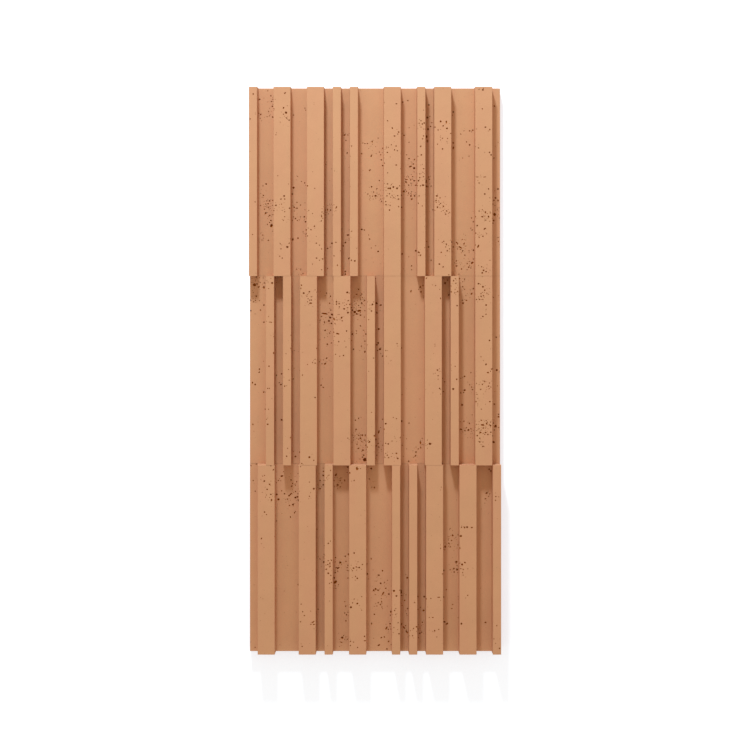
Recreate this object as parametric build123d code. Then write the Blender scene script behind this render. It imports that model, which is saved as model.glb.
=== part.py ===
from build123d import *
import os

# A ribbed concrete cladding panel, cast as one piece. It lies on its back: X is the width, Y the
# height that it has on a wall, and Z points out of the wall. All sizes are in millimetres.

# the panel
panel_width = 400.0
band_height = 300.0
band_count = 3
panel_height = band_height * band_count
plate_thickness = 16.0

# the ribs
rib_depth = 20.0
narrow_rib = 13.0
wide_rib = 27.0
wall_draft = 0.7
rib_edge_radius = 0.8

# the gaps between ribs, and between a rib and the panel's edge
narrow_gap = 14.0
medium_gap = 26.0
edge_gap = 27.0
broad_gap = 38.0
wide_gap = 41.0

# the fine joint line of the mould where two bands meet
joint_width = 0.3
joint_depth = 1.0

# Each band is read from its left edge to its right, and starts with a gap, which may be nothing.
# The pairs are a gap and the rib that follows it. The last number is the gap at the right edge.
first_band = [
    (0.0, narrow_rib),
    (medium_gap, wide_rib),
    (medium_gap, wide_rib),
    (narrow_gap, narrow_rib),
    (narrow_gap, narrow_rib),
    (wide_gap, wide_rib),
    (medium_gap, narrow_rib),
    (narrow_gap, wide_rib),
    (broad_gap, wide_rib),
]
second_band = [
    (edge_gap, narrow_rib),
    (narrow_gap, narrow_rib),
    (narrow_gap, wide_rib),
    (medium_gap, wide_rib),
    (medium_gap, narrow_rib),
    (narrow_gap, wide_rib),
    (broad_gap, wide_rib),
    (narrow_gap, narrow_rib),
    (medium_gap, wide_rib),
]


def rib_spans(band):
    """The left and right edge of each rib's front, measured from the middle of the panel."""
    spans = []
    edge = -panel_width / 2
    for gap, rib in band:
        edge += gap
        spans.append((edge, edge + rib))
        edge += rib
    return spans


def turned(spans):
    """The same ribs after half a turn of the mould, so left and right change places."""
    return [(-right, -left) for left, right in reversed(spans)]


def rib_section(left, right):
    """One rib's section: upright walls with a little draft, and softened front edges."""
    foot_left = max(left - wall_draft, -panel_width / 2)
    foot_right = min(right + wall_draft, panel_width / 2)
    root = plate_thickness - 1.0
    front = plate_thickness + rib_depth
    outline = Polygon(
        (foot_left, root),
        (foot_right, root),
        (foot_right, plate_thickness),
        (right, front),
        (left, front),
        (foot_left, plate_thickness),
        align=None,
    )
    front_corners = [v for v in outline.vertices() if v.Y > front - 0.01]
    return fillet(front_corners, radius=rib_edge_radius)


def band_section(spans):
    """A whole band in section: the plate with its ribs."""
    section = Pos(0, plate_thickness / 2) * Rectangle(panel_width, plate_thickness)
    for left, right in spans:
        section += rib_section(left, right)
    return section


def along_height(section, start, length):
    """A section drawn in X and Z, drawn out along the panel's height."""
    return extrude(Plane.XZ.offset(-start) * section, amount=-length)


# the three bands, from the top of the wall down; the last is the first turned half round
top_spans = rib_spans(first_band)
band_spans = [top_spans, rib_spans(second_band), turned(top_spans)]
sections = [band_section(spans) for spans in band_spans]

panel = None
for place, section in enumerate(sections):
    band_bottom = panel_height / 2 - (place + 1) * band_height
    band = along_height(section, band_bottom, band_height)
    panel = band if panel is None else panel + band

# the joint lines, cut only into the face; the plate behind them is whole
solid_back = Pos(0, (plate_thickness - joint_depth) / 2) * Rectangle(
    panel_width, plate_thickness - joint_depth
)
for place in range(band_count - 1):
    shared = sections[place] & sections[place + 1]
    inner = offset(shared, amount=-joint_depth, kind=Kind.INTERSECTION)
    line = shared - inner - solid_back
    joint_y = panel_height / 2 - (place + 1) * band_height
    panel -= along_height(line, joint_y - joint_width / 2, joint_width)

panel = panel.solid()
panel.label = "panel"

os.makedirs("parts", exist_ok=True)
export_step(panel, "parts/panel.step")
print("panel", panel.bounding_box().size, "volume", round(panel.volume), "valid", panel.is_valid)
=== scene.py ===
import bpy
import bmesh
import math
import random
from mathutils import Matrix, Vector, noise
from mathutils.bvhtree import BVHTree


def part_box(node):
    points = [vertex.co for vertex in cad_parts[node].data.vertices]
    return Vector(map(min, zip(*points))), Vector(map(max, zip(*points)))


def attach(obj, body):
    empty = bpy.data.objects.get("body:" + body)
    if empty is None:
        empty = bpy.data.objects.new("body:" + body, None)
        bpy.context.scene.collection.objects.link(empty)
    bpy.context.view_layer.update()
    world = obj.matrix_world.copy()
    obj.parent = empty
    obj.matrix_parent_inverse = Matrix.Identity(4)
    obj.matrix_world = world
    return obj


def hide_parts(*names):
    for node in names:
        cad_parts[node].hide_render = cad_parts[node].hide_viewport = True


# The frame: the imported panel, lying on its back, with its cast face up and the top of the wall
# towards +Y. Everything below is built on it, in metres, and nothing moves it.
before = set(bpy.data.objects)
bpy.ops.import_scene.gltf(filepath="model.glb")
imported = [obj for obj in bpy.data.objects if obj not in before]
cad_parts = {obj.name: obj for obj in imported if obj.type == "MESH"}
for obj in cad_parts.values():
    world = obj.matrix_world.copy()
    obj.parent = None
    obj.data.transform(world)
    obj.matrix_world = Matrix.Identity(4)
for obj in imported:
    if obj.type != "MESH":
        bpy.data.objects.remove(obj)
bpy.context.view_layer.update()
low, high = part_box("panel")
mm = 0.001

# The concrete: one mix coloured right through with red and yellow iron oxide, with fine sand.
# Its skin is what the smooth mould gave it: matt, a little streaky up and down where the wet
# mix ran, with specks of sand, and pinholes too small to be cut whose shade is painted as dark specks.
MIX_WARM = (0.825, 0.617, 0.468)
MIX_PINK = (0.827, 0.609, 0.466)
# the inside of the pores is painted darker than the face: painted shade in the hollows
PORE_WALL_PAINTED_SHADE = (0.66, 0.37, 0.11)
BACK_PALE = (0.815, 0.630, 0.490)
BACK_DARK = (0.795, 0.595, 0.455)
ROUGHNESS = (0.84, 0.94)
GLOSS = 0.10

# the patterns in the mix: their size, the part of the pattern's range that shows, and how much
# that lightens or darkens the colour
STREAK_SIZE, STREAK_RANGE = 30 * mm, (0.38, 0.62)
STREAK_STRETCH, NO_STRETCH = (1.0, 0.3, 1.0), (1.0, 1.0, 1.0)
CLOUD_SIZE, CLOUD_RANGE, CLOUD_SHADE = 55 * mm, (0.3, 0.7), (0.97, 1.02)
SAND_RANGE, SAND_SHADE = (0.25, 0.75), (0.95, 1.04)
# pinholes are painted shade: dark specks where holes too small to be cut would be in shade
PINHOLE_CELL, PINHOLE_RIM, PINHOLE_PAINTED_SHADE = 5.5 * mm, (0.05, 0.11), 0.62
OPEN_CELLS = (0.30, 0.34)

# the long curved sweeps of a hand float, which only the back has
# the sweeps' colour is painted light: paler on the ridges, darker in the hollows between
SWEEP_SIZE, SWEEP_RANGE, SWEEP_PAINTED_LIGHT = 40 * mm, (0.35, 0.65), (0.95, 1.03)
SWEEP_STRETCH, SWEEP_SLANT, SWEEP_SWIRL = (0.35, 1.0, 1.0), 0.9, 1.6
SWEEP_DEPTH = 2.5 * mm

# the relief of the sand grain, and of the mould's own unevenness
SKIN_GRAIN, SKIN_GRAIN_DEPTH = 1.1 * mm, 0.25 * mm
BACK_GRAIN, BACK_GRAIN_DEPTH = 2.6 * mm, 0.9 * mm
WAVE_SIZE, WAVE_DEPTH = 18 * mm, 0.8 * mm


def linear(colour):
    """A colour as it is seen on a screen, turned into the light values that a shader takes."""
    light = [c / 12.92 if c <= 0.04045 else ((c + 0.055) / 1.055) ** 2.4 for c in colour]
    return (*light, 1.0)


def node(tree, kind, **sockets):
    """One new node, with the given sockets set by name."""
    made = tree.nodes.new(kind)
    for name, value in sockets.items():
        made.inputs[name.replace("_", " ")].default_value = value
    return made


def drawn_out(tree, where, stretch, slant=0.0):
    """Places whose pattern is drawn out along the directions with a small number, and slanted."""
    mapping = node(tree, "ShaderNodeMapping", Scale=stretch, Rotation=(0.0, 0.0, slant))
    tree.links.new(where, mapping.inputs["Vector"])
    return mapping.outputs["Vector"]


def noise_at(tree, where, size, detail=3.0, roughness=0.55, distortion=0.0):
    """A soft cloudy pattern whose patches are about `size` metres across."""
    cloud = node(tree, "ShaderNodeTexNoise", Scale=1.0 / size, Detail=detail,
                 Roughness=roughness, Distortion=distortion)
    tree.links.new(where, cloud.inputs["Vector"])
    return cloud.outputs["Fac"]


def spread(tree, value, within, onto):
    """A value stretched from one range onto another, and held at the ends."""
    ramp = node(tree, "ShaderNodeMapRange", From_Min=within[0], From_Max=within[1],
                To_Min=onto[0], To_Max=onto[1])
    tree.links.new(value, ramp.inputs["Value"])
    return ramp.outputs["Result"]


def combined(tree, operation, first, second):
    """Two values made into one, by MULTIPLY or MAXIMUM."""
    both = node(tree, "ShaderNodeMath")
    both.operation = operation
    tree.links.new(first, both.inputs[0])
    tree.links.new(second, both.inputs[1])
    return both.outputs["Value"]


def mixed(tree, share, first, second):
    """Two colours, mixed by a share from 0 to 1."""
    mix = tree.nodes.new("ShaderNodeMix")
    mix.data_type = "RGBA"
    tree.links.new(share, mix.inputs["Factor"])
    for name, colour in (("A", first), ("B", second)):
        socket = [s for s in mix.inputs if s.name == name and s.type == "RGBA"][0]
        if isinstance(colour, tuple):
            socket.default_value = colour
        else:
            tree.links.new(colour, socket)
    return [s for s in mix.outputs if s.type == "RGBA"][0]


def pinholes(tree, where):
    """Painted shade of pinholes too small to be cut: dark specks in some cells of a fine pattern, and 1
    elsewhere.
    """
    cells = node(tree, "ShaderNodeTexVoronoi", Scale=1.0 / PINHOLE_CELL, Randomness=1.0)
    tree.links.new(where, cells.inputs["Vector"])
    number = node(tree, "ShaderNodeSeparateColor")
    tree.links.new(cells.outputs["Color"], number.inputs["Color"])
    speck = spread(tree, cells.outputs["Distance"], PINHOLE_RIM, (PINHOLE_PAINTED_SHADE, 1.0))
    closed = spread(tree, number.outputs["Red"], OPEN_CELLS, (0.0, 1.0))
    return combined(tree, "MAXIMUM", speck, closed)


def relief(tree, heights, depth, strength, under=None):
    """Relief from a pattern of heights, laid on the relief under it."""
    bump = node(tree, "ShaderNodeBump", Strength=strength, Distance=depth)
    tree.links.new(heights, bump.inputs["Height"])
    if under is not None:
        tree.links.new(under, bump.inputs["Normal"])
    return bump.outputs["Normal"]


def concrete(name, first, second, grain=SKIN_GRAIN, grain_depth=SKIN_GRAIN_DEPTH,
             pinholed=False, floated=False):
    """The coloured concrete: as the mould face, as the inside of a pore painted darker with shade, or
    floated by hand.
    """
    material = bpy.data.materials.new(name)
    material.use_nodes = True
    tree = material.node_tree
    shader = tree.nodes["Principled BSDF"]
    where = node(tree, "ShaderNodeTexCoord").outputs["Object"]
    run = drawn_out(tree, where, NO_STRETCH if floated else STREAK_STRETCH)
    streaks = noise_at(tree, run, STREAK_SIZE, detail=2.0)
    clouds = noise_at(tree, where, CLOUD_SIZE)
    sand = noise_at(tree, where, grain, detail=2.0, roughness=0.7)

    # the tint wanders between two shades of the mix, and between a little lighter and darker
    tint = mixed(tree, spread(tree, streaks, STREAK_RANGE, (0.0, 1.0)),
                 linear(first), linear(second))
    shade = combined(tree, "MULTIPLY", spread(tree, clouds, CLOUD_RANGE, CLOUD_SHADE),
                     spread(tree, sand, SAND_RANGE, SAND_SHADE))

    # painted light and shade: the float's sweeps are a little paler on their ridges and darker between
    # them, as light falls on their relief
    if floated:
        swept = drawn_out(tree, where, SWEEP_STRETCH, SWEEP_SLANT)
        sweeps = noise_at(tree, swept, SWEEP_SIZE, distortion=SWEEP_SWIRL)
        shade = combined(tree, "MULTIPLY", shade, spread(tree, sweeps, SWEEP_RANGE, SWEEP_PAINTED_LIGHT))
    if pinholed:
        # painted shade: the pinholes' dark specks
        shade = combined(tree, "MULTIPLY", shade, pinholes(tree, where))
    tone = node(tree, "ShaderNodeVectorMath")
    tone.operation = "SCALE"
    tree.links.new(tint, tone.inputs["Vector"])
    tree.links.new(shade, tone.inputs["Scale"])
    tree.links.new(tone.outputs["Vector"], shader.inputs["Base Color"])

    # matt all over, and a touch smoother where the mould was new
    tree.links.new(spread(tree, clouds, CLOUD_RANGE, ROUGHNESS), shader.inputs["Roughness"])
    shader.inputs["Specular IOR Level"].default_value = GLOSS

    waves = noise_at(tree, where, WAVE_SIZE, detail=2.0)
    surface = relief(tree, sand, grain_depth, strength=0.35)
    surface = relief(tree, waves, WAVE_DEPTH, strength=0.5, under=surface)
    if floated:
        surface = relief(tree, sweeps, SWEEP_DEPTH, strength=1.0, under=surface)
    tree.links.new(surface, shader.inputs["Normal"])
    return material


skin = concrete("concrete_skin", MIX_WARM, MIX_PINK, pinholed=True)
# the pores' walls: the same concrete painted darker, as painted shade inside the hollows
pore_wall_painted_shade = concrete("concrete_in_pores_painted_shade", PORE_WALL_PAINTED_SHADE, PORE_WALL_PAINTED_SHADE)
back = concrete("concrete_back", BACK_PALE, BACK_DARK, BACK_GRAIN, BACK_GRAIN_DEPTH,
                pinholed=True, floated=True)

# The panel itself: one slab, cast face down in a ribbed mould and lifted out in one piece. This
# is the frame's own shape, closed up where the export had split it along its edges.
ON_FACE, IN_PORES, ON_BACK = range(3)
SPLIT_EDGE = 0.002 * mm
cast = bpy.data.objects.new("cast_panel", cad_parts["panel"].data.copy())
bpy.context.scene.collection.objects.link(cast)
shell = bmesh.new()
shell.from_mesh(cast.data)
bmesh.ops.remove_doubles(shell, verts=shell.verts, dist=SPLIT_EDGE)
shell.to_mesh(cast.data)
bare_panel = BVHTree.FromBMesh(shell)
shell.free()
cast.data.materials.clear()
for finish in (skin, pore_wall_painted_shade, back):
    cast.data.materials.append(finish)
for face in cast.data.polygons:
    face.material_index = ON_BACK if face.normal.z < -0.9 else ON_FACE

# The pores: air that was caught against the mould and left a hole in the cast face. They are
# read off the photograph, in mm from the panel's left edge and from its top edge, as
# they are seen from straight above in the plane of the ribs' fronts.
# The larger ones: place, how wide and how tall the mouth looks, and how many degrees it leans.
LARGE_PORES = [
    (57.5, 10, 1.8, 2.8, -35), (55, 33.5, 1.7, 3.0, -25), (59, 41, 3.0, 3.2, 0), (38, 48, 2.2, 2.3, 0),
    (64, 53, 2.2, 2.0, 0), (195.5, 87, 1.7, 3.0, 0), (252, 22, 2.2, 1.6, 0), (234, 27, 2.4, 1.6, 0),
    (283, 49, 3.0, 2.8, 0), (273, 54, 1.8, 1.7, 0), (290, 57, 1.8, 1.7, 0), (270, 58, 1.8, 1.9, 0),
    (275, 59, 2.0, 2.1, 0), (288, 63, 2.0, 1.9, 0), (295, 64, 2.0, 1.9, 0), (227.5, 65.5, 1.7, 2.8, 35),
    (284, 67, 2.6, 3.2, 0), (246, 77, 2.2, 2.0, 0), (231, 78, 2.5, 1.8, 0), (282, 79, 2.0, 4.0, 0),
    (283, 86, 2.0, 4.0, 10), (272.5, 94.5, 1.8, 2.8, -35), (371, 5, 2.4, 2.5, 0), (324, 40, 2.2, 2.3, 0),
    (304, 55, 2.6, 2.6, 0), (313, 56, 2.0, 4.0, 0), (308, 62, 2.0, 2.1, 0), (375, 64, 2.6, 1.9, 0),
    (314, 66, 2.4, 2.5, 0), (382, 68, 1.6, 2.4, 0), (324, 89, 2.4, 2.2, 0), (350, 92, 2.4, 2.5, 0),
    (324, 97, 2.0, 4.0, 0), (71, 160, 3.2, 3.0, 0), (69, 170, 2.5, 2.3, 0), (23, 172, 2.4, 1.7, 0),
    (56, 173, 2.5, 2.3, 0), (33, 181, 2.2, 2.3, 0), (43, 188, 2.5, 2.3, 0), (72, 191, 2.2, 2.0, 0),
    (179, 106, 1.6, 2.6, -15), (194, 110, 2.2, 2.3, 0), (192, 132, 2.6, 1.7, 30), (198, 167, 1.4, 2.2, 0),
    (188.5, 170, 2.4, 1.4, 0), (139, 191, 1.8, 2.8, 0), (125, 195, 1.6, 3.6, 0),
    (262.5, 115.5, 1.5, 2.8, -30), (233.5, 124, 2.5, 1.8, 0), (212, 125, 2.2, 2.0, 0),
    (256, 126.5, 4.4, 2.2, 25), (262, 129, 3.4, 3.0, 0), (241, 130, 1.4, 4.0, 0), (277, 130, 2.3, 1.5, 0),
    (271, 144, 2.0, 1.9, 0), (249, 147, 2.0, 2.1, 0), (262, 149, 2.4, 2.2, 0), (269, 149, 2.2, 2.3, 0),
    (281, 150, 1.8, 5.0, 0), (249, 151, 2.6, 2.6, 0), (265, 156, 2.8, 2.0, 0), (276, 156, 3.4, 2.4, 0),
    (282, 158, 2.8, 2.6, 0), (229, 159, 2.4, 2.5, 0), (221, 161, 2.2, 2.3, 0), (224, 161, 3.0, 2.8, 0),
    (235, 161, 2.6, 2.7, 0), (245.5, 166, 2.9, 2.8, 0), (201, 173, 2.8, 3.0, 0), (219, 173, 2.4, 1.4, 0),
    (257, 173, 2.4, 2.5, 0), (263, 173, 2.2, 2.3, 0), (270, 173, 1.3, 2.4, 0), (298, 173, 3.0, 2.2, 0),
    (258, 178, 2.6, 2.4, 0), (297, 180, 2.4, 1.5, 0), (242, 191, 2.4, 2.2, 0), (299, 191, 2.2, 2.3, 0),
    (384, 108, 2.2, 2.3, 0), (362, 143, 4.0, 1.1, 0), (374, 143, 4.0, 1.1, 5), (395, 162, 2.4, 2.6, 0),
    (374, 170, 2.2, 2.3, 0), (303, 176, 1.3, 2.6, 0), (391, 176, 2.6, 2.6, 0), (395, 180, 2.4, 2.2, 0),
    (387, 186, 1.2, 2.6, 0), (375, 199, 2.0, 3.0, 0), (27, 200, 2.6, 2.6, 0), (33, 204, 2.4, 2.2, 0),
    (88, 206, 2.2, 2.3, 0), (90, 214, 2.4, 2.5, 0), (36, 220, 3.4, 5.2, -25),
    (98.5, 226.5, 2.4, 1.5, -30), (91, 227, 1.5, 2.4, 0), (91, 233, 1.3, 2.0, 0), (78, 240, 2.2, 2.3, 0),
    (70, 242, 2.4, 3.8, 0), (64, 248, 1.3, 2.6, -30), (61, 254, 3.2, 3.0, 0), (49, 268.5, 2.1, 1.3, 0),
    (82, 289, 2.0, 1.3, 0), (115.5, 205.5, 1.6, 3.2, 15), (179, 226, 2.6, 2.4, 0),
    (163, 229, 2.2, 1.4, 0), (157, 235, 3.4, 2.2, 0), (138, 246.5, 2.3, 1.5, 0), (153, 247, 2.2, 2.3, 0),
    (132, 248, 2.6, 2.4, 0), (149.5, 252, 1.6, 3.2, 0), (159, 272, 2.1, 3.4, -35),
    (168, 276, 2.4, 2.5, 0), (140.5, 283, 1.4, 2.4, 0), (153, 293, 2.2, 2.3, 0), (153, 297, 2.2, 2.3, 0),
    (265, 260, 2.8, 2.6, 0), (205, 261, 2.8, 2.0, 0), (269.5, 262.5, 3.6, 2.0, -35),
    (389.5, 202.5, 3.6, 4.4, 20), (359, 206, 2.2, 2.0, 0), (370, 206, 3.2, 2.0, 0),
    (380, 206, 2.4, 2.5, 0), (388, 212, 2.4, 2.6, 0), (356, 214, 2.5, 1.6, 0), (362, 220, 2.2, 2.3, 0),
    (374, 225, 4.2, 2.0, 30), (321, 246, 2.6, 2.4, 0), (330, 247.5, 4.4, 2.0, -45),
    (363.5, 253, 2.2, 4.8, -20), (335, 254.5, 5.0, 2.2, -30), (356, 259, 2.4, 2.2, 0),
    (382, 275, 2.0, 1.1, 0), (354, 279, 4.2, 2.6, 35), (302, 281, 2.4, 2.2, 0), (329, 284, 2.2, 2.0, 0),
    (372, 291, 2.4, 2.2, 0), (370, 295, 2.4, 2.2, 0), (37, 311, 2.6, 2.8, 0), (9, 314, 4.6, 4.2, 0),
    (24, 318, 2.4, 3.8, 0), (96, 325, 2.2, 2.0, 0), (87, 327, 2.4, 2.5, 0), (12, 332, 2.2, 2.3, 0),
    (98, 343, 4.2, 2.0, 0), (24, 346, 2.2, 2.3, 0), (3, 355, 2.2, 2.3, 0), (41, 365, 2.2, 2.3, 0),
    (24, 373, 2.2, 2.0, 0), (34, 373, 4.2, 1.1, 0), (36, 373.5, 1.8, 1.1, 0), (174, 321, 2.2, 2.0, 0),
    (156, 326, 3.0, 2.8, 0), (171, 329, 2.4, 1.6, 0), (139, 341, 2.4, 2.5, 0), (179, 343, 2.4, 2.5, 0),
    (196, 345, 2.4, 2.6, 0), (151, 352, 3.2, 2.2, 0), (164, 354, 2.2, 2.3, 0), (175, 355, 6.0, 3.0, 10),
    (168, 357, 3.4, 3.6, 0), (157, 358, 2.6, 2.6, 0), (120, 359.5, 8.0, 2.2, -8), (171, 360, 3.0, 2.6, 0),
    (132, 361, 3.8, 2.6, -40), (177, 362, 2.9, 2.1, 0), (129, 366, 3.0, 2.8, 0),
    (147, 366, 2.1, 3.4, -35), (135, 368, 2.2, 4.4, 30), (127, 371, 2.8, 3.0, 0), (120, 373, 2.2, 2.0, 0),
    (131, 375, 2.4, 2.5, 0), (121, 386, 2.4, 2.2, 0), (134, 389, 2.4, 2.6, 0),
    (141, 391.5, 4.6, 2.0, -10), (164, 392, 2.4, 2.5, 0), (281.5, 303.5, 1.3, 2.8, -35),
    (276, 315, 1.6, 3.0, 0), (272, 317, 1.8, 3.0, 0), (257, 324, 1.8, 4.0, -15), (273, 325, 2.0, 3.0, 0),
    (202, 343, 4.2, 2.6, 0), (209, 346, 3.2, 2.2, 0), (203, 358, 2.2, 3.2, 0), (206, 384, 3.0, 2.8, 0),
    (334, 304, 1.5, 2.8, 0), (311, 311, 2.6, 2.6, 0), (364, 312, 3.0, 2.2, 0), (320.5, 316, 1.2, 2.6, 0),
    (371, 317, 2.6, 2.4, 0), (356, 320, 2.2, 2.3, 0), (353, 328, 3.4, 2.2, 45), (317, 330, 2.4, 2.2, 0),
    (304, 335.5, 1.4, 2.6, 0), (345, 338.5, 2.6, 1.8, 0), (339.5, 343, 2.4, 2.6, 0),
    (376, 346, 2.2, 2.3, 0), (330, 347, 2.2, 2.0, 0), (376, 360.5, 2.2, 1.3, 0), (392, 397, 2.2, 2.0, 0),
    (40, 422, 2.6, 2.6, 0), (6, 469, 1.8, 3.0, 0), (10, 472, 2.4, 2.5, 0), (51, 472, 2.4, 2.2, 0),
    (124.5, 408, 2.2, 2.2, 0), (184, 420, 2.2, 3.2, 0), (105, 438, 2.2, 1.3, 0), (121, 439, 3.8, 2.2, 45),
    (205, 406, 3.0, 2.6, 0), (203, 409, 2.4, 2.5, 0), (242, 414, 1.3, 2.4, 0), (208, 416, 3.2, 3.0, 0),
    (212, 427, 2.2, 2.0, 0), (299, 449, 2.2, 2.3, 0), (376, 440, 2.4, 2.5, 0), (393, 449, 2.8, 2.8, 0),
    (379, 453, 2.9, 2.1, 0), (324, 479, 3.0, 3.0, 0), (342, 481, 3.0, 2.8, 0), (336, 485, 1.5, 3.0, 0),
    (382, 499, 2.2, 2.0, 0), (52, 528, 2.8, 2.6, 0), (30, 535, 2.4, 2.2, 0), (66, 556, 1.3, 2.6, 0),
    (80.5, 579, 1.2, 2.4, 0), (74, 586, 2.6, 2.4, 0), (96, 587, 3.0, 2.8, 0), (199, 553, 2.4, 2.5, 0),
    (177, 557, 2.4, 2.5, 0), (179, 562, 1.3, 2.6, 30), (191, 563, 3.4, 2.2, 45), (174, 573, 2.2, 2.0, 0),
    (181, 576, 3.2, 2.2, 0), (182, 584, 2.2, 2.3, 0), (184, 591, 5.4, 5.0, 0), (242, 530, 2.6, 2.7, 0),
    (217, 534, 2.6, 2.4, 0), (214.5, 543, 1.5, 2.6, 0), (206, 547, 2.2, 4.8, -15),
    (240, 556, 1.3, 2.4, 0), (201, 559, 2.5, 2.6, 0), (272, 564, 2.0, 5.0, 10), (221, 566, 2.4, 2.2, 0),
    (287, 566, 3.6, 3.2, 0), (276, 567, 1.1, 2.4, 0), (206, 571, 2.5, 1.7, 0), (272.5, 572, 1.4, 2.8, 20),
    (265, 579, 2.4, 2.5, 0), (234, 581, 2.4, 2.2, 0), (264, 585, 3.0, 1.8, 40), (236, 589, 2.6, 2.4, 0),
    (338, 504, 3.0, 2.6, 0), (396, 523, 2.6, 2.4, 0), (368.5, 528.5, 2.4, 1.6, 0),
    (377, 534, 2.0, 3.4, 20), (370.5, 536, 5.0, 2.3, -5), (391, 538, 3.4, 3.6, 0),
    (336, 543, 3.4, 2.2, 0), (348, 544, 2.8, 2.8, 0), (367, 548, 3.2, 2.2, 0), (375, 548, 2.2, 2.0, 0),
    (362, 553, 2.2, 2.0, 0), (386, 553, 2.4, 2.2, 0), (366, 563, 2.2, 2.0, 0), (388, 563, 3.6, 3.2, 0),
    (371, 570, 2.2, 2.0, 0), (39, 607, 1.5, 2.8, -35), (52.5, 617, 4.2, 2.4, 15), (67, 623, 2.2, 2.3, 0),
    (76, 626, 1.4, 2.4, 0), (68, 633, 2.2, 2.0, 0), (66.5, 645.5, 4.8, 2.0, 50), (35, 646, 2.2, 2.0, 0),
    (44, 646, 3.0, 2.8, 0), (64, 648, 2.6, 2.7, 0), (77, 650, 2.6, 2.4, 0), (74, 651, 3.0, 2.8, 0),
    (47, 654, 3.2, 3.0, 0), (36, 655, 2.2, 3.2, 0), (79, 655.5, 2.0, 5.0, 35), (70, 662, 2.8, 2.6, 0),
    (25, 674, 2.2, 2.0, 0), (72.5, 675, 1.5, 3.0, -25), (171, 604, 1.8, 3.6, -25),
    (194, 605, 3.0, 2.8, 0), (172, 606, 4.0, 2.4, 30), (118.5, 609.5, 2.2, 2.0, 0),
    (138, 615, 2.2, 4.0, -35), (118, 616, 2.4, 2.5, 0), (118, 631, 2.2, 2.0, 0), (141, 631, 2.8, 3.0, 0),
    (103, 637, 2.6, 2.7, 0), (113, 637, 2.2, 2.3, 0), (381, 606, 2.2, 2.0, 0), (384, 609, 2.6, 2.6, 0),
    (377, 644, 3.6, 2.2, 40), (375, 653, 2.6, 1.7, 40), (346, 698, 2.8, 2.8, 0),
    (342, 698.5, 2.1, 2.6, 0), (353.5, 698.5, 2.8, 2.0, 0), (41, 713, 1.0, 2.0, 0),
    (20, 716, 1.6, 2.6, -20), (43, 752, 1.5, 2.8, 0), (78, 789, 1.2, 2.4, 0), (167, 739, 2.2, 2.3, 0),
    (120, 741, 2.2, 2.0, 0), (158, 741, 1.9, 3.2, 0), (153, 744, 2.4, 2.2, 0), (194, 748, 1.6, 2.7, 0),
    (126, 751, 2.3, 1.4, 0), (119, 753, 2.4, 2.5, 0), (145, 754, 3.2, 3.0, 0), (187, 756, 1.3, 3.0, 0),
    (175, 762, 2.4, 2.2, 0), (141, 763, 3.0, 2.8, 0), (166, 763, 2.4, 2.2, 0), (137, 770, 2.2, 2.0, 0),
    (126, 771, 2.6, 2.4, 0), (188, 772, 1.9, 3.2, 0), (135, 778, 2.8, 2.6, 0), (172, 779, 2.2, 2.0, 0),
    (137, 785, 5.6, 3.2, 45), (198, 798, 2.2, 3.2, 0), (206, 774, 2.4, 2.5, 0), (251, 778, 2.8, 2.6, 0),
    (209, 787, 2.6, 2.7, 0), (201, 796, 3.0, 2.6, 0), (205, 798, 2.4, 2.2, 0), (230, 799, 3.0, 2.8, 0),
    (332, 710, 2.2, 2.3, 0), (323, 711, 2.6, 2.7, 0), (336, 712, 4.0, 2.6, 0), (331.5, 726, 1.5, 2.4, 0),
    (311, 729, 2.4, 4.0, 0), (334, 731, 2.4, 2.2, 0), (329, 753, 3.4, 3.0, 0),
    (342.5, 754, 3.2, 1.7, -40), (338, 757, 3.0, 2.8, 0), (330, 765, 2.8, 3.0, 0),
    (325.5, 769, 2.4, 2.0, 0), (172, 819, 2.6, 2.4, 0), (162, 825, 3.0, 2.8, 0), (199, 836, 2.2, 2.0, 0),
    (103.5, 847, 1.8, 1.3, 30), (101.5, 848.5, 3.2, 1.8, 30), (194.5, 851, 1.5, 3.2, 0),
    (103, 852, 2.4, 1.6, 30), (148, 873, 3.4, 3.2, 0), (184, 878, 3.2, 1.4, 0), (241, 800, 2.8, 6.0, 0),
    (213, 802.5, 2.2, 4.6, -30), (222, 804, 2.4, 2.5, 0), (212, 804.5, 1.6, 2.6, -35),
    (234, 807, 2.6, 2.4, 0), (278, 808, 2.6, 2.7, 0), (210.5, 816, 1.5, 2.6, 0),
    (208.5, 820.5, 2.5, 1.6, 0), (277, 830, 3.0, 2.8, 0), (225, 832, 2.2, 3.2, 0),
    (291.5, 841, 2.3, 1.4, 0), (224, 851, 2.4, 2.2, 0), (266, 856, 2.9, 2.1, 0),
    (246, 857, 4.8, 2.0, -40), (218, 858, 2.2, 5.0, -30), (250.5, 864, 2.0, 5.0, 30),
    (271, 866, 2.4, 2.2, 0), (238, 867, 2.2, 2.0, 0), (215, 872, 1.6, 2.6, 30), (210, 873, 2.9, 1.9, 40),
    (206, 885, 4.0, 2.2, 30), (219, 891, 2.2, 2.3, 0), (301, 809, 4.0, 1.4, 0), (321.5, 827, 2.2, 1.4, 0),
    (310, 848, 3.0, 2.6, 0), (375, 849, 3.2, 2.1, 15), (314, 851, 3.6, 2.2, 35), (337, 851, 2.6, 2.7, 0),
]

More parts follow.
